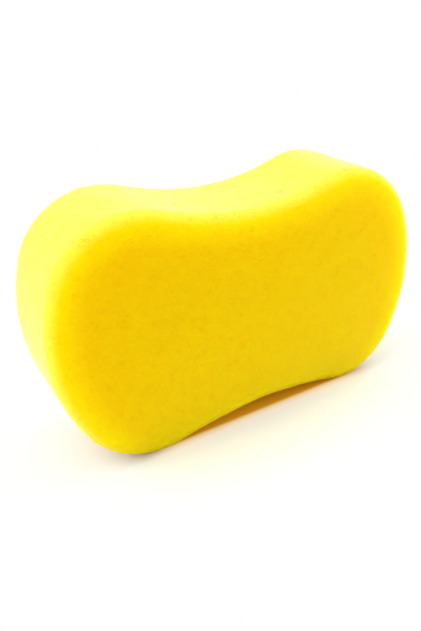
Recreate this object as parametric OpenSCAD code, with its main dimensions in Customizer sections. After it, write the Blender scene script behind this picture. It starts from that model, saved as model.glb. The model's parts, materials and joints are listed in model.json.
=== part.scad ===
// Cleaning sponge: one solid block of soft open-cell foam, with a dip above and below for the hand.
// It stands on its two lower lobes, with its broad faces upright.
// X runs along the block, Y through it from the front face to the back face, and Z up.
// The origin is on the floor under the middle of the block.

/* [Block] */
// Length of the block from end to end
block_length = 200; // [180:1:260]
// Thickness of the block from the front face to the back face
block_thickness = 60; // [30:1:90]

/* [Outline] */
// Height of the upper lobes above the line where the block is longest
upper_height = 57; // [50:0.5:70]
// Depth of the lower lobes below that line
lower_height = 62; // [54:0.5:74]
// How far the upper grip dips below the tops of the upper lobes
upper_dip = 9.5; // [4:0.5:16]
// How far the lower grip rises above the bottoms of the lower lobes
lower_dip = 7; // [3:0.5:14]
// Radius of the two upper shoulders
upper_shoulder_r = 40.5; // [32:0.5:48]
// Radius of the two lower shoulders
lower_shoulder_r = 38.5; // [30:0.5:46]
// Radius of the two ends
end_r = 87; // [76:1:100]

/* [Edges] */
// Radius of the soft edge around each broad face
edge_r = 7; // [2:0.5:12]

/* [Smoothness] */
// Longest flat piece along a curve of the outline
flat_length = 3.5; // [2.5:0.5:6]
// Number of bands across each soft edge
edge_bands = 6; // [3:1:8]

/* [Hidden] */
foam_yellow = [1, 0.86, 0.07];
half_thickness = block_thickness / 2;

// The outline is a closed chain of arcs that meet on shared normals, so that it has no corner.
// It is drawn with y = 0 where the block is longest and x = 0 in the middle of both grips.
// Distance from the middle to the centre of each end's arc.
end_x = block_length / 2 - end_r;

// Centre of a right shoulder's arc, which lies inside the end's arc and touches it.
function shoulder_x(height, r) = end_x + sqrt(pow(end_r - r, 2) - pow(height - r, 2));
function shoulder_y(height, r) = height - r;

// Direction in which the end's arc passes into the shoulder's arc.
function end_angle(height, r) = atan2(shoulder_y(height, r), shoulder_x(height, r) - end_x);

// Radius of the grip's hollow arc, which touches both shoulders at the foot of the dip.
function grip_r(height, dip, r) =
    (pow(shoulder_x(height, r), 2) + pow(r - dip, 2) - pow(r, 2)) / (2 * dip);

// Half of the angle that the grip's hollow arc spans.
function grip_angle(height, dip, r) =
    atan2(shoulder_x(height, r), grip_r(height, dip, r) + r - dip);

// Points along one arc without its last one, moved inwards by inset.
// bulge is 1 where the foam bulges out and -1 where it is hollow.
function arc(centre, r, bulge, from, to, inset) =
    let (steps = ceil(abs(to - from) * PI / 180 * r / flat_length))
    [for (i = [0 : steps - 1])
        let (a = from + (to - from) * i / steps)
        centre + (r - bulge * inset) * [cos(a), sin(a)]];

// Upper half of an outline, from the right end's tip over both shoulders to the left end's tip.
// Shoulders and grip are two arcs each, so that a point lies on their highest and lowest places.
function half_outline(height, dip, r, inset) =
    let (
        x = shoulder_x(height, r),
        y = shoulder_y(height, r),
        turn = end_angle(height, r),
        hollow_r = grip_r(height, dip, r),
        half_grip = grip_angle(height, dip, r)
    )
    concat(
        arc([end_x, 0], end_r, 1, 0, turn, inset),
        arc([x, y], r, 1, turn, 90, inset),
        arc([x, y], r, 1, 90, 90 + half_grip, inset),
        arc([0, height - dip + hollow_r], hollow_r, -1, -90 + half_grip, -90, inset),
        arc([0, height - dip + hollow_r], hollow_r, -1, -90, -90 - half_grip, inset),
        arc([-x, y], r, 1, 90 - half_grip, 90, inset),
        arc([-x, y], r, 1, 90, 180 - turn, inset),
        arc([-end_x, 0], end_r, 1, 180 - turn, 180, inset)
    );

// The whole outline. The lower half is an upper one of its own sizes, turned half round.
function outline(inset) =
    concat(
        half_outline(upper_height, upper_dip, upper_shoulder_r, inset),
        [for (p = half_outline(lower_height, lower_dip, lower_shoulder_r, inset)) -p]
    );

// The soft edge as a quarter round: how far in from the rim, and how deep from the broad face.
edge_round = [
    for (i = [0 : edge_bands])
        let (a = 90 * i / edge_bands)
        edge_r * [1 - sin(a), 1 - cos(a)]
];

// The skin's last band runs on past the broad face, which is then cut flat as one plane.
overrun = [2 * edge_round[0][0] - edge_round[1][0], -edge_round[1][1]];
edge_rings = concat([overrun], [for (i = [1 : edge_bands]) edge_round[i]]);

// Every ring of the skin from the front to the back, as an inset and a place along Y.
ring_rows = concat(
    [for (ring = edge_rings) [ring[0], ring[1] - half_thickness]],
    [for (i = [edge_bands : -1 : 0]) [edge_rings[i][0], half_thickness - edge_rings[i][1]]]
);

// The rounded skin, drawn through the rings and closed at the front and at the back.
module skin() {
    ring_size = len(outline(0));
    front_middle = len(ring_rows) * ring_size;
    back_middle = front_middle + 1;
    last_ring = front_middle - ring_size;
    bands = [
        for (row = [0 : len(ring_rows) - 2])
            for (i = [0 : ring_size - 1])
                let (
                    here = row * ring_size + i,
                    next = row * ring_size + (i + 1) % ring_size
                )
                each [
                    [here, here + ring_size, next + ring_size],
                    [here, next + ring_size, next]
                ]
    ];
    front_end = [for (i = [0 : ring_size - 1]) [i, (i + 1) % ring_size, front_middle]];
    back_end = [
        for (i = [0 : ring_size - 1])
            [last_ring + (i + 1) % ring_size, last_ring + i, back_middle]
    ];
    polyhedron(
        points = concat(
            [for (row = ring_rows) for (p = outline(row[0])) [p[0], row[1], p[1]]],
            [[0, ring_rows[0][1], 0], [0, -ring_rows[0][1], 0]]
        ),
        faces = concat(bands, front_end, back_end)
    );
}

// The foam block: the rounded skin between the two flat planes of its broad faces.
module sponge() {
    reach = 2 * block_length;
    color(foam_yellow)
        translate([0, 0, lower_height])
            intersection() {
                skin();
                cube([reach, block_thickness, reach], center = true);
            }
}

sponge();
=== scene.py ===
"""Cleaning sponge: a block of soft yellow open-cell foam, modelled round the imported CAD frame.

The block has the outline of the CAD source: a wide arc at each end, a shoulder at each corner
and a hollow grip above and below. Its skin carries the cut cells of the foam as real pits.
"""

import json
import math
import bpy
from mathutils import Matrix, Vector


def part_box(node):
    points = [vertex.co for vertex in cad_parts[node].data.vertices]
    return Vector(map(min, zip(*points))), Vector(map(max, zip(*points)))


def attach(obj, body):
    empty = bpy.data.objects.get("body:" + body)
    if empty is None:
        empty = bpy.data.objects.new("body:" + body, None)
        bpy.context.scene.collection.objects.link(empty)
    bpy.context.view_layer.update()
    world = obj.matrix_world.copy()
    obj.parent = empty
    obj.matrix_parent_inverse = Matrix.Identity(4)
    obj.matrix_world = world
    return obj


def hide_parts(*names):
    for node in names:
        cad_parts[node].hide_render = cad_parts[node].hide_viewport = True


bl_info = {
    "name": "Cleaning Sponge",
    "version": (1, 0, 0),
    "blender": (4, 5, 0),
    "location": "View3D > Sidebar > Sponge",
    "description": "Models a foam cleaning sponge with its open cells, and a plain stage for it",
    "category": "Add Mesh",
}

import bmesh
import bpy
import numpy as np
from bpy.props import FloatProperty, FloatVectorProperty, PointerProperty
from mathutils import Matrix, Vector, noise
from mathutils.kdtree import KDTree

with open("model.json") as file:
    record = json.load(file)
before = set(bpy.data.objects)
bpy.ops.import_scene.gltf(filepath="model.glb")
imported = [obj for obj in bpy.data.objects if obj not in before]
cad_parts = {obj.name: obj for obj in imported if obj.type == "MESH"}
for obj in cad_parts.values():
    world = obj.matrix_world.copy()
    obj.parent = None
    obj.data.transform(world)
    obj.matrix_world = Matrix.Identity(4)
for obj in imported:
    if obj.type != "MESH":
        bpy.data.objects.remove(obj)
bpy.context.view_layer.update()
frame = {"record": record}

SPONGE_LOW, SPONGE_HIGH = (Vector(corner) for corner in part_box("sponge"))
SPONGE_SIZE = SPONGE_HIGH - SPONGE_LOW
# The front face's mount lies at the height of the block's longest line.
FACE_CENTRE_HEIGHT = frame["record"]["mounts"][0]["pos_m"][2]
MM = 0.001
WHITE = (1.0, 1.0, 1.0, 1.0)


# Sizes and colours that a user would change

class SpongeBlockSettings(bpy.types.PropertyGroup):
    """Sizes of the foam block, with the CAD source's values as defaults"""

    length: FloatProperty(
        name="Length", description="Length from end to end",
        default=SPONGE_SIZE.x, min=0.15, max=0.26, unit="LENGTH",
    )
    thickness: FloatProperty(
        name="Thickness", description="From the front face to the back face",
        default=SPONGE_SIZE.y, min=0.03, max=0.09, unit="LENGTH",
    )
    lower_height: FloatProperty(
        name="Lower Height", description="Depth of the lower lobes below the longest line",
        default=FACE_CENTRE_HEIGHT, min=0.05, max=0.08, unit="LENGTH",
    )
    upper_height: FloatProperty(
        name="Upper Height", description="Height of the upper lobes above the longest line",
        default=SPONGE_SIZE.z - FACE_CENTRE_HEIGHT, min=0.05, max=0.08, unit="LENGTH",
    )
    upper_dip: FloatProperty(
        name="Upper Dip", description="How far the upper grip dips below the upper lobes",
        default=9.5 * MM, min=0.004, max=0.016, unit="LENGTH",
    )
    lower_dip: FloatProperty(
        name="Lower Dip", description="How far the lower grip rises above the lower lobes",
        default=7 * MM, min=0.003, max=0.014, unit="LENGTH",
    )
    upper_shoulder: FloatProperty(
        name="Upper Shoulder", description="Radius of the two upper shoulders",
        default=40.5 * MM, min=0.03, max=0.048, unit="LENGTH",
    )
    lower_shoulder: FloatProperty(
        name="Lower Shoulder", description="Radius of the two lower shoulders",
        default=38.5 * MM, min=0.03, max=0.046, unit="LENGTH",
    )
    end_radius: FloatProperty(
        name="End Radius", description="Radius of the two ends",
        default=87 * MM, min=0.076, max=0.1, unit="LENGTH",
    )
    soft_edge: FloatProperty(
        name="Soft Edge", description="Radius of the edge round each broad face",
        default=7 * MM, min=0.002, max=0.012, unit="LENGTH",
    )
    mesh_step: FloatProperty(
        name="Mesh Step", description="Width of one face of the mesh",
        default=0.9 * MM, min=0.0007, max=0.006, unit="LENGTH",
    )
    rest_press: FloatProperty(
        name="Rest Press", description="How far the lower lobes flatten on what they rest on",
        default=0.35 * MM, min=0.0, max=0.002, unit="LENGTH",
    )


class SpongeSetSettings(bpy.types.PropertyGroup):
    """How far the soft block is out of true, at its ends and faces"""

    waist_shift: FloatProperty(
        name="Waist Shift", description="How far the grips sit towards the right end",
        default=3.02 * MM, min=-0.005, max=0.005, unit="LENGTH",
    )
    skew: FloatProperty(
        name="Skew", description="Slide of the back face to the right",
        default=1.15 * MM, min=-0.005, max=0.005, unit="LENGTH",
    )
    slant: FloatProperty(
        name="Slant", description="How much longer the back face is than the middle, at each end",
        default=1.46 * MM, min=-0.005, max=0.005, unit="LENGTH",
    )
    lean: FloatProperty(
        name="Lean", description="Lean of the top towards the front",
        default=1.15 * MM, min=-0.005, max=0.005, unit="LENGTH",
    )
    bow: FloatProperty(
        name="Bow", description="Bow of the top and the foot towards the back",
        default=1.14 * MM, min=-0.005, max=0.005, unit="LENGTH",
    )
    twist: FloatProperty(
        name="Twist", description="Turn of the top against the foot, at the ends",
        default=-0.62 * MM, min=-0.005, max=0.005, unit="LENGTH",
    )
    end_sag: FloatProperty(
        name="End Sag", description="How much lower the right shoulder is than the middle",
        default=2.13 * MM, min=-0.005, max=0.005, unit="LENGTH",
    )
    back_rise: FloatProperty(
        name="Back Rise", description="How much higher the top is at the back than in the middle",
        default=1.36 * MM, min=-0.005, max=0.005, unit="LENGTH",
    )


class SpongeFoamSettings(bpy.types.PropertyGroup):
    """Cells and colours of the foam"""

    colour: FloatVectorProperty(
        name="Foam", description="Colour of the broad faces",
        default=(0.868, 0.607, 0.0009), min=0.0, max=1.0, size=3, subtype="COLOR",
    )
    # Painted glow: a yellower colour near the rims of the broad faces, standing in for light that
    # comes through the foam's edges.
    rim_glow_colour: FloatVectorProperty(
        name="Rim", description="Yellower colour of the broad faces near their rims",
        default=(0.9, 0.678, 0.0009), min=0.0, max=1.0, size=3, subtype="COLOR",
    )
    rim_width: FloatProperty(
        name="Rim Width", description="How far in from the soft edge the rim's colour reaches",
        default=11 * MM, min=0.001, max=0.03, unit="LENGTH",
    )
    # Painted highlight: a paler colour on the side wall, the top and the ends, where the lamps
    # light the block strongly.
    side_highlight_colour: FloatVectorProperty(
        name="Side", description="Paler colour of the side wall between the broad faces",
        default=(0.92, 0.78, 0.075), min=0.0, max=1.0, size=3, subtype="COLOR",
    )
    # Painted shade: a darker tint in the depth of each cell.
    pore_shade_tint: FloatVectorProperty(
        name="Pores", description="Tint of the foam in the depth of a cell",
        default=(0.955, 0.885, 0.92), min=0.0, max=1.0, size=3, subtype="COLOR",
    )
    # Painted shade: a darker, more orange tint in the depth of each cell on the side wall.
    side_pore_shade_tint: FloatVectorProperty(
        name="Side Pores", description="Tint of the side wall in the depth of a cell",
        default=(0.80, 0.62, 0.38), min=0.0, max=1.0, size=3, subtype="COLOR",
    )
    # Painted shade: a darker tint on the underside, which faces down.
    underside_shade_tint: FloatVectorProperty(
        name="Pressed", description="Tint of the underside, which the weight has pressed",
        default=(0.76, 0.62, 0.8), min=0.0, max=1.0, size=3, subtype="COLOR",
    )
    pore_size: FloatProperty(
        name="Pore Size", description="Distance from one large cell to the next",
        default=2.4 * MM, min=0.001, max=0.006, unit="LENGTH",
    )
    pore_depth: FloatProperty(
        name="Pore Depth", description="Depth of a large cell that the cut has opened",
        default=0.35 * MM, min=0.0, max=0.001, unit="LENGTH",
    )
    unevenness: FloatProperty(
        name="Unevenness", description="How far the cut wanders in and out",
        default=0.3 * MM, min=0.0, max=0.002, unit="LENGTH",
    )
    glow_depth: FloatProperty(
        name="Glow Depth", description="How far red light travels inside the foam",
        default=30 * MM, min=0.0, max=0.06, unit="LENGTH",
    )
    bloom: FloatProperty(
        name="Bloom", description="Strength of the pale bloom of cut cell walls seen at a slant",
        default=0.76, min=0.0, max=1.0, subtype="FACTOR",
    )


class SpongeStageSettings(bpy.types.PropertyGroup):
    """Camera, lamps and floor"""

    camera_turn: FloatProperty(
        name="Camera Turn", description="Angle of the camera round the sponge",
        default=math.radians(-26.422), unit="ROTATION",
    )
    camera_rise: FloatProperty(
        name="Camera Rise", description="Angle of the camera above the horizon",
        default=math.radians(25.919), unit="ROTATION",
    )
    camera_roll: FloatProperty(
        name="Camera Roll", description="Roll of the camera about its line of sight",
        default=math.radians(-5.349), unit="ROTATION",
    )
    camera_distance: FloatProperty(
        name="Camera Distance", description="From the camera to the middle of the broad faces",
        default=0.30165, min=0.1, unit="LENGTH",
    )
    camera_offset: FloatVectorProperty(
        name="Camera Offset", description="Move of the camera to its right and upwards",
        default=(-11.253 * MM, -15.150 * MM), size=2, unit="LENGTH",
    )
    camera_lens: FloatProperty(
        name="Lens", description="Focal length in millimetres for a 36 mm sensor",
        default=33.495, min=10.0,
    )
    back_light: FloatProperty(
        name="Back Light", description="Power of the wide lamp above and behind",
        default=1.6, min=0.0, unit="POWER",
    )
    left_light: FloatProperty(
        name="Left Light", description="Power of the wide lamp at the left end",
        default=2.2, min=0.0, unit="POWER",
    )
    left_back_light: FloatProperty(
        name="Left Back Light", description="Power of the lamp behind the left end",
        default=1.9, min=0.0, unit="POWER",
    )
    left_top_light: FloatProperty(
        name="Left Top Light", description="Power of the lamp above the left end",
        default=3.5, min=0.0, unit="POWER",
    )
    right_light: FloatProperty(
        name="Right Light", description="Power of the wide lamp at the right end",
        default=1.9, min=0.0, unit="POWER",
    )
    right_front_light: FloatProperty(
        name="Right Front Light", description="Power of the lamp in front of the right end",
        default=3.3, min=0.0, unit="POWER",
    )
    right_top_light: FloatProperty(
        name="Right Top Light", description="Power of the lamp above the right end",
        default=2.5, min=0.0, unit="POWER",
    )
    sky_strength: FloatProperty(
        name="Sky", description="Strength of the light from the room's pale ceiling",
        default=0.57, min=0.0,
    )
    floor_colour: FloatVectorProperty(
        name="Floor", description="Colour of the floor",
        default=(0.92, 0.955, 0.93), min=0.0, max=1.0, size=3, subtype="COLOR",
    )
    # Painted shadow: a dark warm colour on the floor beneath the sponge.
    shade_colour: FloatVectorProperty(
        name="Shade", description="Colour of the floor beneath the sponge, warm from its foam",
        default=(0.98, 0.5, 0.02), min=0.0, max=1.0, size=3, subtype="COLOR",
    )


# The block's skin

# Where the upper corners of a broad face's grid lie, as a share of the upper half's points.
CORNER_SHARE = 0.17
# How many times the places inside a broad face are evened out.
EVENING_ROUNDS = 60
# How far down a face looks at least, from 0 to 1, on the underside that gets the foam's shaded
# copy without sheen and on the band round it that gets the copy with half the sheen, and how many
# times as far to the side it may look.
SHADED_COPY_LOOK = (0.25, 1.0)
HALF_SHADED_COPY_LOOK = (0.12, 1.8)


def arc(centre, radius, bulge, start, stop, inset, step):
    """Points along one arc without its last one, moved inwards by inset.

    bulge is 1 where the foam bulges out and -1 where it is hollow."""
    steps = max(2, math.ceil(abs(stop - start) * radius / step))
    angles = np.linspace(start, stop, steps, endpoint=False)
    reach = radius - bulge * inset
    return np.stack(
        [centre[0] + reach * np.cos(angles), centre[1] + reach * np.sin(angles)], axis=1
    )


def half_outline(half_length, end_r, height, dip, shoulder_r, inset, step):
    """Upper half of an outline, from the right end's tip to the left end's tip."""
    end_x = half_length - end_r
    y = height - shoulder_r
    x = end_x + math.sqrt((end_r - shoulder_r) ** 2 - y ** 2)
    turn = math.atan2(y, x - end_x)
    grip_r = (x ** 2 + (shoulder_r - dip) ** 2 - shoulder_r ** 2) / (2 * dip)
    half_grip = math.atan2(x, grip_r + shoulder_r - dip)
    top = math.pi / 2
    grip_y = height - dip + grip_r
    return np.concatenate([
        arc((end_x, 0), end_r, 1, 0, turn, inset, step),
        arc((x, y), shoulder_r, 1, turn, top, inset, step),
        arc((x, y), shoulder_r, 1, top, top + half_grip, inset, step),
        arc((0, grip_y), grip_r, -1, -top + half_grip, -top, inset, step),
        arc((0, grip_y), grip_r, -1, -top, -top - half_grip, inset, step),
        arc((-x, y), shoulder_r, 1, top - half_grip, top, inset, step),
        arc((-x, y), shoulder_r, 1, top, math.pi - turn, inset, step),
        arc((-end_x, 0), end_r, 1, math.pi - turn, math.pi, inset, step),
    ])


def outline(sizes, inset):
    """The whole outline and the number of points in its upper half."""
    upper = half_outline(
        sizes.length / 2, sizes.end_radius, sizes.upper_height, sizes.upper_dip,
        sizes.upper_shoulder, inset, sizes.mesh_step,
    )
    lower = -half_outline(
        sizes.length / 2, sizes.end_radius, sizes.lower_height, sizes.lower_dip,
        sizes.lower_shoulder, inset, sizes.mesh_step,
    )
    return np.concatenate([upper, lower]), len(upper)


def side_rows(sizes):
    """Every ring from the front to the back, as an inset and a place along Y."""
    r, half = sizes.soft_edge, sizes.thickness / 2
    bands = math.ceil(r * math.pi / 2 / sizes.mesh_step)
    turns = [math.pi / 2 * i / bands for i in range(bands + 1)]
    edge = [(r * (1 - math.sin(a)), r * (1 - math.cos(a))) for a in turns]
    flat_steps = math.ceil((2 * half - 2 * r) / sizes.mesh_step)
    flat = [(0.0, -half + r + (2 * half - 2 * r) * i / flat_steps) for i in range(1, flat_steps)]
    front = [(inset, depth - half) for inset, depth in edge]
    back = [(inset, half - depth) for inset, depth in reversed(edge)]
    return front + flat + back


def face_grid(ring, upper_count, corner):
    """Indices of the ring round a broad face, as the four sides of a grid.

    corner is how many points after the right end's tip the upper right corner lies."""
    count = len(ring)
    lower_count = count - upper_count
    lower_corner = corner + (lower_count - upper_count) // 2
    across = upper_count - 2 * corner
    down = corner + lower_corner
    top = [corner + a for a in range(across + 1)]
    bottom = [(count - lower_corner - a) % count for a in range(across + 1)]
    right = [(corner - b) % count for b in range(down + 1)]
    left = [upper_count - corner + b for b in range(down + 1)]
    return top, bottom, right, left


def fill_grid(ring, sides):
    """Places inside a broad face: a patch between four sides, then evened out."""
    top, bottom, right, left = (ring[side] for side in sides)
    a = np.linspace(0, 1, len(top))[:, None, None]
    b = np.linspace(0, 1, len(right))[None, :, None]
    corners = (
        (1 - a) * (1 - b) * top[0] + a * (1 - b) * top[-1]
        + (1 - a) * b * bottom[0] + a * b * bottom[-1]
    )
    grid = (
        (1 - b) * top[:, None] + b * bottom[:, None]
        + (1 - a) * right[None] + a * left[None] - corners
    )
    for _ in range(EVENING_ROUNDS):
        grid[1:-1, 1:-1] = (
            grid[:-2, 1:-1] + grid[2:, 1:-1] + grid[1:-1, :-2] + grid[1:-1, 2:]
        ) / 4
    return grid


def add_face(mesh, ring_verts, ring, upper_count, corner, y, rise):
    """Closes one broad face of the block with an even grid."""
    sides = face_grid(ring, upper_count, corner)
    grid = fill_grid(ring, sides)
    across, down = grid.shape[0] - 1, grid.shape[1] - 1
    top, bottom, right, left = sides

    def vertex(a, b):
        if b == 0:
            return ring_verts[top[a]]
        if b == down:
            return ring_verts[bottom[a]]
        if a == 0:
            return ring_verts[right[b]]
        if a == across:
            return ring_verts[left[b]]
        x, z = grid[a, b]
        return mesh.verts.new((x, y, z + rise))

    verts = [[vertex(a, b) for b in range(down + 1)] for a in range(across + 1)]
    for a in range(across):
        for b in range(down):
            mesh.faces.new((verts[a][b], verts[a + 1][b], verts[a + 1][b + 1], verts[a][b + 1]))


def looks_down(normal, least, slant):
    """Whether a face looks far enough down, and not too far to the side."""
    return -normal.z > least and abs(normal.x) < slant * -normal.z


def mark_underside(mesh):
    """Gives the third material, a shaded copy of the foam without sheen, to the underside, so that
    the floor's light puts no sheen there.

    The second one, with half the sheen, is for the band between it and the open cells."""
    for face in mesh.faces:
        if looks_down(face.normal, *SHADED_COPY_LOOK):
            face.material_index = 2
        elif looks_down(face.normal, *HALF_SHADED_COPY_LOOK):
            face.material_index = 1


def block_mesh(sizes):
    """The smooth closed skin of the block, in even four-sided faces."""
    mesh = bmesh.new()
    rise = sizes.lower_height
    rows = side_rows(sizes)
    rings = []
    for inset, y in rows:
        ring, _ = outline(sizes, inset)
        rings.append([mesh.verts.new((x, y, z + rise)) for x, z in ring])
    for near, far in zip(rings, rings[1:]):
        for i in range(len(near)):
            j = (i + 1) % len(near)
            mesh.faces.new((near[i], far[i], far[j], near[j]))
    ring, upper_count = outline(sizes, sizes.soft_edge)
    corner = round(upper_count * CORNER_SHARE)
    add_face(mesh, rings[0], ring, upper_count, corner, rows[0][1], rise)
    add_face(mesh, rings[-1], ring, upper_count, corner, rows[-1][1], rise)
    bmesh.ops.recalc_face_normals(mesh, faces=mesh.faces)
    mark_underside(mesh)
    return mesh


# The foam's relief

# The distance between the cut's slow waves, and that between patches of deeper cells.
WAVE_LENGTH = 22 * MM
PATCH_LENGTH = 6 * MM
# A patch's share of the cells' full depth: the mean, its swing to both sides and the least.
PATCH_MEAN = 0.6
PATCH_SWING = 0.9
PATCH_LEAST = 0.2
# How fast a cell deepens away from its walls.
CELL_STEEPNESS = 1.6
# The share of the depth at which the skin stays where it is.
MEAN_DEPTH = 0.4
# The large bubbles' distance and radius, as multiples of the pore size, and how much painted shade
# they add to a cell.
HOLE_SPACING = 3.0
HOLE_RADIUS = 0.6
HOLE_SHADE = 0.4
# How far the skin looks down or to the side, from 0 to 1, where the underside and the side wall
# start, and where they count in full. The underside gets painted shade and the side wall a painted
# highlight.
UNDERSIDE_SPAN = (0.1, 0.85)
SIDE_SPAN = (0.3, 0.97)
# The same for the rims on the underside, which get no painted glow.
DARK_RIM_SPAN = (0.6, 0.95)
# A point this near to a broad face's plane lies on it.
FLAT_TOLERANCE = 0.001 * MM


def cell_depth(place, size):
    """How deep the cut has opened a cell here, from 0 on a wall to 1 in its middle."""
    near, next_near = noise.voronoi(place / size)[0][:2]
    return min(1.0, (next_near - near) * CELL_STEEPNESS)


def hole_depth(place, spacing, radius):
    """Depth of the few large bubbles that the cut has opened, from 0 to 1."""
    away = noise.voronoi(place / spacing)[0][0] * spacing / radius
    return max(0.0, 1.0 - away * away)


def smooth_share(value, low, high):
    """0 up to low and 1 from high on, with a smooth step between."""
    t = min(1.0, max(0.0, (value - low) / (high - low)))
    return t * t * (3 - 2 * t)


def rim_shares(block, sizes, width):
    """How near each point lies to a broad face's rim: 1 from the rim outwards, 0 width inside it.

    The rims on the underside don't count, because no light comes through them. The mask places the
    painted glow of the rim colour."""
    ring, _ = outline(sizes, sizes.soft_edge)
    ring = ring + (0, sizes.lower_height)
    run = np.roll(ring, -1, axis=0) - np.roll(ring, 1, axis=0)
    facing_down = run[:, 0] / np.hypot(run[:, 0], run[:, 1])
    rim = KDTree(len(ring))
    for i, (x, z) in enumerate(ring):
        rim.insert((x, 0.0, z), i)
    rim.balance()
    shares = []
    for v in block.data.vertices:
        _, i, away = rim.find((v.co.x, 0.0, v.co.z))
        inside = away if abs(v.co.y) > sizes.thickness / 2 - FLAT_TOLERANCE else 0.0
        near = 1 - smooth_share(inside, 0.0, width)
        shares.append(near * (1 - smooth_share(facing_down[i], *DARK_RIM_SPAN)))
    return shares


def carve_foam(block, sizes, foam):
    """Moves the skin in and out: a wandering cut, the opened cells and a few large bubbles.

    The mesh keeps how deep each point lies in a cell, and how far it belongs to the side wall, to
    a broad face's rim and to the underside that faces down.
    The material paints shade into the cells and onto the underside, a highlight onto the side wall
    and a glow near the rims."""
    mesh = block.data
    normals = [v.normal.copy() for v in mesh.vertices]
    kept = {"cell_depth": [], "side_wall": [], "pressed": []}
    kept["rim"] = rim_shares(block, sizes, foam.rim_width)
    for v, normal in zip(mesh.vertices, normals):
        place = v.co.copy()
        wander = noise.fractal(place / WAVE_LENGTH, 0.8, 2.0, 3) * foam.unevenness
        patch = PATCH_MEAN + PATCH_SWING * noise.noise(place / PATCH_LENGTH)
        cells = cell_depth(place, foam.pore_size) * min(1.0, max(PATCH_LEAST, patch))
        hole = hole_depth(place, HOLE_SPACING * foam.pore_size, HOLE_RADIUS * foam.pore_size)
        kept["cell_depth"].append(min(1.0, cells + HOLE_SHADE * hole))
        # Painted shade goes on the underside, where the skin faces down.
        pressed = smooth_share(-normal.z, *UNDERSIDE_SPAN)
        kept["pressed"].append(pressed)
        # A painted highlight goes on the side wall, where the skin faces up or to the side, but
        # not on the underside.
        side = smooth_share(math.hypot(normal.x, normal.z), *SIDE_SPAN)
        kept["side_wall"].append(side * (1 - pressed))
        sink = (cells + hole - MEAN_DEPTH) * foam.pore_depth
        v.co = place + normal * (wander - sink)
    for name, values in kept.items():
        mesh.attributes.new(name, "FLOAT", "POINT").data.foreach_set("value", values)


def settle(block, sizes, out):
    """Moves the whole block a little out of true, as soft foam cut by hand is, and sets it down.

    along, through and up run from -1 to 1 over the block. The foot stays level."""
    half_length, half_thickness = sizes.length / 2, sizes.thickness / 2
    middle, half_height = sizes.lower_height, (sizes.lower_height + sizes.upper_height) / 2
    for v in block.data.vertices:
        along = v.co.x / half_length
        through = v.co.y / half_thickness
        up = (v.co.z - middle) / half_height
        raised = (1 + up) / 2
        v.co.x += (out.skew + out.slant * along) * through - out.waist_shift * along ** 2
        v.co.y += -out.lean * up + out.bow * up ** 2 + out.twist * along * up
        v.co.z += raised * (out.back_rise * through * up - out.end_sag * along)
        v.co.z = max(v.co.z - sizes.rest_press, 0.0)


# Materials

# The masks that the mesh keeps, by the names of the sockets that they feed.
KEPT_MASKS = {
    "Cell Depth": "cell_depth", "Side Wall": "side_wall", "Rim": "rim", "Pressed": "pressed",
}
# Distance between the fine cells that only the material shows, and the relief they seem to have.
FINE_CELL = 1.1 * MM
FINE_RELIEF = 0.25 * MM
# How wide a fine cell's wall is, and how far it opens at least.
FINE_WALL = 0.3
FINE_LEAST = 0.5
# How much of a pore's painted shade the modelled cells and the fine cells give.
MODELLED_SHADE = 0.6
FINE_SHADE = 0.3
# The foam's least and greatest roughness.
ROUGHNESS = (0.7, 0.85)
# How far red, green and blue light travel inside the foam, as shares of the glow depth.
LIGHT_TRAVEL = (1.0, 0.8, 0.12)


def feed(tree, value, socket):
    """Links a node's output to the socket, or sets a plain value on it."""
    if isinstance(value, bpy.types.NodeSocket):
        tree.links.new(value, socket)
    else:
        socket.default_value = value


def add_node(tree, kind, **settings):
    """A new shader node with its settings."""
    node = tree.nodes.new("ShaderNode" + kind)
    for name, value in settings.items():
        setattr(node, name, value)
    return node


def calculate(tree, operation, *values):
    """The result of a Math node."""
    node = add_node(tree, "Math", operation=operation)
    for value, socket in zip(values, node.inputs):
        feed(tree, value, socket)
    return node.outputs[0]


def rescale(tree, value, low, high, to_low=0.0, to_high=1.0, smooth=False):
    """The value, moved from the span low to high into the span to_low to to_high."""
    node = add_node(tree, "MapRange", interpolation_type="SMOOTHSTEP" if smooth else "LINEAR")
    feed(tree, value, node.inputs["Value"])
    feed(tree, low, node.inputs["From Min"])
    feed(tree, high, node.inputs["From Max"])
    feed(tree, to_low, node.inputs["To Min"])
    feed(tree, to_high, node.inputs["To Max"])
    return node.outputs["Result"]


def mix_colours(tree, share, first, second, blend="MIX"):
    """The first colour where share is 0, and the blend with the second one where it is 1."""
    node = add_node(tree, "Mix", data_type="RGBA", blend_type=blend)
    feed(tree, share, node.inputs["Factor"])
    feed(tree, first, node.inputs["A"])
    feed(tree, second, node.inputs["B"])
    return node.outputs["Result"]


def node_group(name, inputs, outputs):
    """An empty shader node group with the given sockets, and its two end nodes."""
    group = bpy.data.node_groups.new(name, "ShaderNodeTree")
    for socket, kind, value in inputs:
        made = group.interface.new_socket(socket, in_out="INPUT", socket_type=kind)
        if value is not None:
            made.default_value = value
    for socket, kind in outputs:
        group.interface.new_socket(socket, in_out="OUTPUT", socket_type=kind)
    return group, group.nodes.new("NodeGroupInput"), group.nodes.new("NodeGroupOutput")


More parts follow.
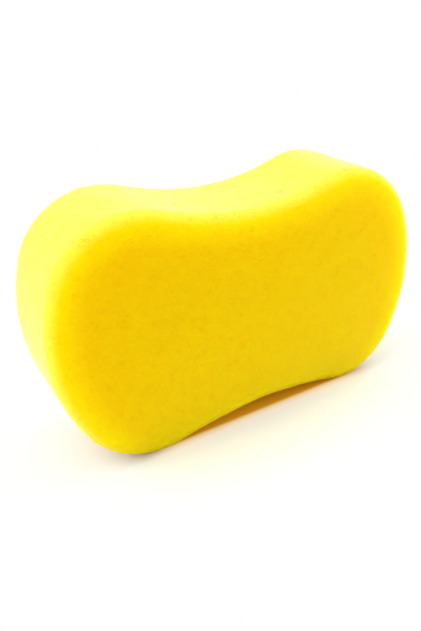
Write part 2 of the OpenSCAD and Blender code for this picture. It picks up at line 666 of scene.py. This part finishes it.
def cells_group():
    """Fine foam cells: a mask that is 1 in the middle of a cell and 0 on its walls."""
    group, given, result = node_group(
        "Foam Cells",
        [("Vector", "NodeSocketVector", None), ("Cell Size", "NodeSocketFloat", FINE_CELL),
         ("Wall", "NodeSocketFloat", FINE_WALL), ("Evenness", "NodeSocketFloat", FINE_LEAST)],
        [("Mask", "NodeSocketFloat")],
    )
    scale = calculate(group, "DIVIDE", 1.0, given.outputs["Cell Size"])
    cells = add_node(group, "TexVoronoi", feature="DISTANCE_TO_EDGE")
    feed(group, given.outputs["Vector"], cells.inputs["Vector"])
    feed(group, scale, cells.inputs["Scale"])
    bowl = rescale(group, cells.outputs["Distance"], 0.0, given.outputs["Wall"], smooth=True)
    patches = add_node(group, "TexNoise")
    feed(group, given.outputs["Vector"], patches.inputs["Vector"])
    feed(group, calculate(group, "MULTIPLY", scale, 0.5), patches.inputs["Scale"])
    opened = rescale(group, patches.outputs["Fac"], 0.35, 0.65, given.outputs["Evenness"])
    feed(group, calculate(group, "MULTIPLY", bowl, opened), result.inputs["Mask"])
    return group


def finish_group(foam):
    """The foam's finish: golden faces, a yellower rim as painted glow, a paler side wall as
    painted highlight, and darker pores and a darker underside as painted shade.
    """
    masks = [(name, "NodeSocketFloat", 0.0) for name in ("Fine Cells", *KEPT_MASKS)]
    colours = (
        ("Face Colour", foam.colour), ("Rim Colour", foam.rim_glow_colour),
        ("Side Colour", foam.side_highlight_colour), ("Pore Tint", foam.pore_shade_tint),
        ("Side Pore Tint", foam.side_pore_shade_tint), ("Pressed Tint", foam.underside_shade_tint),
    )
    group, given, result = node_group(
        "Foam Finish",
        [("Vector", "NodeSocketVector", None), *masks]
        + [(name, "NodeSocketColor", (*colour, 1.0)) for name, colour in colours],
        [("Color", "NodeSocketColor"), ("Roughness", "NodeSocketFloat")],
    )
    take = given.outputs
    # Painted shade in the depth of the modelled and the fine cells.
    fine_pore = calculate(group, "MULTIPLY", take["Fine Cells"], FINE_SHADE)
    pore = calculate(group, "MULTIPLY_ADD", take["Cell Depth"], MODELLED_SHADE, fine_pore)
    # Painted glow: the rim colour near the rims.
    face = mix_colours(group, take["Rim"], take["Face Colour"], take["Rim Colour"])
    # Painted highlight: the paler colour on the side wall.
    skin = mix_colours(group, take["Side Wall"], face, take["Side Colour"])
    tint = mix_colours(group, take["Side Wall"], take["Pore Tint"], take["Side Pore Tint"])
    pored = mix_colours(group, pore, skin, tint, "MULTIPLY")
    # Painted shade on the underside.
    colour = mix_colours(group, take["Pressed"], pored, take["Pressed Tint"], "MULTIPLY")
    feed(group, colour, result.inputs["Color"])

    patches = add_node(group, "TexNoise")
    patches.inputs["Scale"].default_value = 60.0
    patches.inputs["Detail"].default_value = 4.0
    feed(group, take["Vector"], patches.inputs["Vector"])
    roughness = rescale(group, patches.outputs["Fac"], 0.0, 1.0, *ROUGHNESS)
    feed(group, roughness, result.inputs["Roughness"])
    return group


def foam_material(name, foam, cells, finish, bloom):
    """Yellow foam: light soaks in and glows at the edges, cut cell walls give a pale bloom."""
    material = bpy.data.materials.new(name)
    material.use_nodes = True
    tree = material.node_tree
    surface = tree.nodes["Principled BSDF"]
    surface.subsurface_method = "RANDOM_WALK"
    surface.inputs["Subsurface Weight"].default_value = 1.0
    surface.inputs["Subsurface Radius"].default_value = LIGHT_TRAVEL
    surface.inputs["Subsurface Scale"].default_value = foam.glow_depth
    surface.inputs["Subsurface Anisotropy"].default_value = 0.0
    surface.inputs["Specular IOR Level"].default_value = 0.0
    surface.inputs["Sheen Weight"].default_value = bloom
    surface.inputs["Sheen Roughness"].default_value = 0.3

    place = add_node(tree, "TexCoord").outputs["Object"]
    fine = add_node(tree, "Group", node_tree=cells)
    feed(tree, place, fine.inputs["Vector"])
    skin = add_node(tree, "Group", node_tree=finish)
    feed(tree, place, skin.inputs["Vector"])
    feed(tree, fine.outputs["Mask"], skin.inputs["Fine Cells"])
    for socket, mask in KEPT_MASKS.items():
        kept = add_node(tree, "Attribute", attribute_name=mask)
        feed(tree, kept.outputs["Fac"], skin.inputs[socket])
    feed(tree, skin.outputs["Color"], surface.inputs["Base Color"])
    feed(tree, skin.outputs["Roughness"], surface.inputs["Roughness"])

    bump = add_node(tree, "Bump", invert=True)
    bump.inputs["Strength"].default_value = 0.4
    bump.inputs["Distance"].default_value = FINE_RELIEF
    feed(tree, fine.outputs["Mask"], bump.inputs["Height"])
    feed(tree, bump.outputs["Normal"], surface.inputs["Normal"])
    return material


class SPONGE_OT_make_block(bpy.types.Operator):
    """Model the foam block, with the cells that the cut has opened"""

    bl_idname = "sponge.make_block"
    bl_label = "Make Foam Block"
    bl_options = {"REGISTER", "UNDO"}

    def execute(self, context):
        sizes = context.scene.sponge_block
        foam = context.scene.sponge_foam
        data = bpy.data.meshes.new("foam_block")
        skin = block_mesh(sizes)
        skin.to_mesh(data)
        skin.free()
        block = bpy.data.objects.new("foam_block", data)
        context.collection.objects.link(block)
        carve_foam(block, sizes, foam)
        settle(block, sizes, context.scene.sponge_set)
        data.shade_smooth()
        cells, finish = cells_group(), finish_group(foam)
        # The underside gets shaded copies of the foam: half the sheen on the band round it and
        # none on it, so that the floor's light gives it no sheen.
        blooms = (
            ("yellow_foam_open_cells", foam.bloom),
            ("yellow_foam_half_pressed", foam.bloom / 2),
            ("yellow_foam_pressed", 0.0),
        )
        for name, bloom in blooms:
            data.materials.append(foam_material(name, foam, cells, finish, bloom))
        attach(block, "root")
        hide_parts("sponge")
        return {"FINISHED"}


# The stage

# Half the width of the floor.
FLOOR_REACH = 2.0
# Each lamp's name, width and place.
LAMPS = (
    ("back_light", 0.7, (0.0, 0.8, 0.7)),
    ("left_light", 0.7, (-0.9, 0.0, 0.4)),
    ("left_back_light", 0.6, (-0.7, 0.6, 0.5)),
    ("left_top_light", 0.6, (-0.6, 0.0, 0.85)),
    ("right_light", 0.6, (0.9, 0.1, 0.4)),
    ("right_front_light", 0.6, (0.75, -0.6, 0.5)),
    ("right_top_light", 0.6, (0.6, 0.0, 0.85)),
)


def view_frame(turn, rise, roll):
    """The camera's own right, up and back directions."""
    back = Vector((
        math.sin(turn) * math.cos(rise), -math.cos(turn) * math.cos(rise), math.sin(rise)
    ))
    level_right = Vector((math.cos(turn), math.sin(turn), 0.0))
    level_up = back.cross(level_right)
    right = math.cos(roll) * level_right + math.sin(roll) * level_up
    return right, back.cross(right), back


def make_camera(context, stage, aim):
    """The camera at the photograph's viewing angle."""
    right, up, back = view_frame(stage.camera_turn, stage.camera_rise, stage.camera_roll)
    place = (
        aim + back * stage.camera_distance
        + right * stage.camera_offset[0] + up * stage.camera_offset[1]
    )
    data = bpy.data.cameras.new("camera")
    data.lens = stage.camera_lens
    data.sensor_width = 36.0
    data.clip_start = 0.01
    camera = bpy.data.objects.new("camera", data)
    turned = Matrix((right, up, back)).transposed().to_4x4()
    camera.matrix_world = Matrix.Translation(place) @ turned
    context.collection.objects.link(camera)
    context.scene.camera = camera


def make_lamp(context, name, power, size, place, aim):
    """A soft square lamp that the camera doesn't see."""
    data = bpy.data.lights.new(name, "AREA")
    data.energy = power
    data.size = size
    lamp = bpy.data.objects.new(name, data)
    lamp.location = place
    lamp.rotation_mode = "QUATERNION"
    lamp.rotation_quaternion = (place - aim).to_track_quat("Z", "Y")
    lamp.visible_camera = False
    context.collection.objects.link(lamp)


def shown_white(tree):
    """1 where the camera, gloss or glass looks at a background, which is then plain white."""
    path = add_node(tree, "LightPath").outputs
    seen = calculate(tree, "MAXIMUM", path["Is Camera Ray"], path["Is Glossy Ray"])
    return calculate(tree, "MAXIMUM", seen, path["Is Transmission Ray"])


def mix_shaders(tree, share, first, second, end):
    """Feeds the end socket with the first shader where share is 0 and the second where it is 1."""
    both = add_node(tree, "MixShader")
    for value, socket in zip((share, first, second), both.inputs):
        feed(tree, value, socket)
    feed(tree, both.outputs[0], end)


# The room light's strength ahead, as a share of that above, and the heights between which it
# grows, where straight up is 1.
WALL_LIGHT = 0.6
WALL_TOP = 0.15
CEILING_START = 0.6


def make_world(context, strength):
    """A white background, and a soft room light that is brighter above than ahead."""
    world = bpy.data.worlds.new("pale_room")
    world.use_nodes = True
    context.scene.world = world
    tree = world.node_tree
    room = tree.nodes["Background"]
    room.inputs["Color"].default_value = WHITE
    direction = add_node(tree, "SeparateXYZ")
    feed(tree, add_node(tree, "TexCoord").outputs["Generated"], direction.inputs[0])
    light = rescale(
        tree, direction.outputs["Z"], WALL_TOP, CEILING_START, WALL_LIGHT * strength, strength
    )
    feed(tree, light, room.inputs["Strength"])
    white = add_node(tree, "Background")
    white.inputs["Color"].default_value = WHITE
    end = tree.nodes["World Output"].inputs["Surface"]
    mix_shaders(tree, shown_white(tree), room.outputs[0], white.outputs[0], end)


# Half the length of the foot, as a share of the block's length.
FOOT_SHARE = 0.31
# How much the floor glows beneath the sponge, which lightens its painted shadow there.
SHADE_GLOW = 0.1
# Painted light on the floor in front of the sponge's foot: warm colours and a glow that stand in
# for light coming through the foam and lighten the shadow there. The first number is the share of
# the way out, and the last one how much the floor glows.
FOOT_PAINTED_LIGHT = (
    (0.19, (1.0, 0.78, 0.36, 0.6)),
    (0.35, (1.0, 0.89, 0.66, 0.45)),
    (0.52, (1.0, 0.95, 0.82, 0.3)),
)
# How far ahead of the foot these tones start and end, and how softly they stop at its two ends.
TONES_START = -0.1 * MM
TONES_END = 11 * MM
END_BLUR = 12 * MM
# The floor keeps its shadow in an oval. OVAL is what its length and width are divided by, and
# the radii say where the floor starts to fade and where it is plain white.
OVAL = (1.5, 1.6, 0.0)
FADE_START = 0.09
FADE_END = 0.22


def painted_foot_shadow_and_light(tree, place, colour, shade, foot):
    """The floor's painted shadow beneath the sponge and painted warm light round its foot, and how
    much the floor glows there.
    """
    across = add_node(tree, "VectorMath", operation="ABSOLUTE")
    feed(tree, place, across.inputs[0])
    sides = add_node(tree, "SeparateXYZ")
    feed(tree, across.outputs[0], sides.inputs[0])
    foot_end, foot_side = foot
    along = rescale(
        tree, sides.outputs["X"], foot_end - END_BLUR, foot_end + END_BLUR, 1.0, 0.0, smooth=True
    )
    ahead = rescale(tree, sides.outputs["Y"], foot_side + TONES_START, foot_side + TONES_END)
    tones = add_node(tree, "ValToRGB")
    ramp = tones.color_ramp.elements
    ramp[0].position, ramp[0].color = 0.0, (*shade, SHADE_GLOW)
    ramp[1].position, ramp[1].color = 1.0, (*colour, 0.0)
    for position, tone in FOOT_PAINTED_LIGHT:
        ramp.new(position).color = tone
    feed(tree, ahead, tones.inputs["Fac"])
    ground = mix_colours(tree, along, (*colour, 1.0), tones.outputs["Color"])
    return ground, calculate(tree, "MULTIPLY", tones.outputs["Alpha"], along)


def floor_fade(tree, place):
    """0 near the sponge, where the floor keeps its shadow, and 1 further out."""
    oval = add_node(tree, "VectorMath", operation="MULTIPLY")
    oval.inputs[1].default_value = OVAL
    feed(tree, place, oval.inputs[0])
    away = add_node(tree, "VectorMath", operation="LENGTH")
    feed(tree, oval.outputs[0], away.inputs[0])
    return rescale(tree, away.outputs["Value"], FADE_START, FADE_END, smooth=True)


def floor_material(colour, shade, foot):
    """A matt white floor that keeps the sponge's shadow and fades to plain white around it.

    shade is the warm colour of the painted shadow beneath the sponge, and foot is half the
    length and half the width of the place where the flat of the sponge stands."""
    material = bpy.data.materials.new("pale_floor")
    material.use_nodes = True
    tree = material.node_tree
    tree.nodes.remove(tree.nodes["Principled BSDF"])
    place = add_node(tree, "TexCoord").outputs["Object"]
    # Painted shadow beneath the sponge, and painted warm light and glow in front of its foot.
    ground, glow = painted_foot_shadow_and_light(tree, place, colour, shade, foot)
    fade = floor_fade(tree, place)
    matt = add_node(tree, "BsdfDiffuse")
    feed(tree, ground, matt.inputs["Color"])
    white = add_node(tree, "Emission")
    feed(tree, mix_colours(tree, fade, ground, WHITE), white.inputs["Color"])
    share = calculate(tree, "MAXIMUM", fade, glow)
    shown = calculate(tree, "MULTIPLY", share, shown_white(tree))
    end = tree.nodes["Material Output"].inputs["Surface"]
    mix_shaders(tree, shown, matt.outputs[0], white.outputs[0], end)
    return material


class SPONGE_OT_make_stage(bpy.types.Operator):
    """Set up the camera, the soft lamps, the pale room and the floor"""

    bl_idname = "sponge.make_stage"
    bl_label = "Make Stage"
    bl_options = {"REGISTER", "UNDO"}

    def execute(self, context):
        stage = context.scene.sponge_stage
        aim = Vector((0.0, 0.0, context.scene.sponge_block.lower_height))
        make_camera(context, stage, aim)
        for name, size, place in LAMPS:
            make_lamp(context, name, getattr(stage, name), size, Vector(place), aim)
        make_world(context, stage.sky_strength)

        data = bpy.data.meshes.new("floor")
        sheet = bmesh.new()
        bmesh.ops.create_grid(sheet, x_segments=8, y_segments=8, size=FLOOR_REACH)
        sheet.to_mesh(data)
        sheet.free()
        block = context.scene.sponge_block
        foot = (FOOT_SHARE * block.length, block.thickness / 2 - block.soft_edge)
        data.materials.append(floor_material(stage.floor_colour, stage.shade_colour, foot))
        floor = bpy.data.objects.new("floor", data)
        context.collection.objects.link(floor)
        context.scene.view_settings.view_transform = "Standard"
        return {"FINISHED"}


class SPONGE_PT_panel(bpy.types.Panel):
    """Lists the sponge's sizes, its foam and its stage"""

    bl_idname = "SPONGE_PT_panel"
    bl_label = "Cleaning Sponge"
    bl_space_type = "VIEW_3D"
    bl_region_type = "UI"
    bl_category = "Sponge"

    def draw(self, context):
        scene = context.scene
        groups = (
            (scene.sponge_block, None),
            (scene.sponge_set, None),
            (scene.sponge_foam, SPONGE_OT_make_block.bl_idname),
            (scene.sponge_stage, SPONGE_OT_make_stage.bl_idname),
        )
        for settings, operator in groups:
            column = self.layout.column(align=True)
            for name in settings.__annotations__:
                column.prop(settings, name)
            if operator:
                self.layout.operator(operator)


CLASSES = (
    SpongeBlockSettings, SpongeSetSettings, SpongeFoamSettings, SpongeStageSettings,
    SPONGE_OT_make_block, SPONGE_OT_make_stage, SPONGE_PT_panel,
)


def register():
    for cls in CLASSES:
        bpy.utils.register_class(cls)
    bpy.types.Scene.sponge_block = PointerProperty(type=SpongeBlockSettings)
    bpy.types.Scene.sponge_set = PointerProperty(type=SpongeSetSettings)
    bpy.types.Scene.sponge_foam = PointerProperty(type=SpongeFoamSettings)
    bpy.types.Scene.sponge_stage = PointerProperty(type=SpongeStageSettings)


def unregister():
    del bpy.types.Scene.sponge_stage
    del bpy.types.Scene.sponge_foam
    del bpy.types.Scene.sponge_set
    del bpy.types.Scene.sponge_block
    for cls in reversed(CLASSES):
        bpy.utils.unregister_class(cls)


def main():
    register()
    bpy.ops.sponge.make_block()
    bpy.ops.sponge.make_stage()


if __name__ == "__main__":
    main()
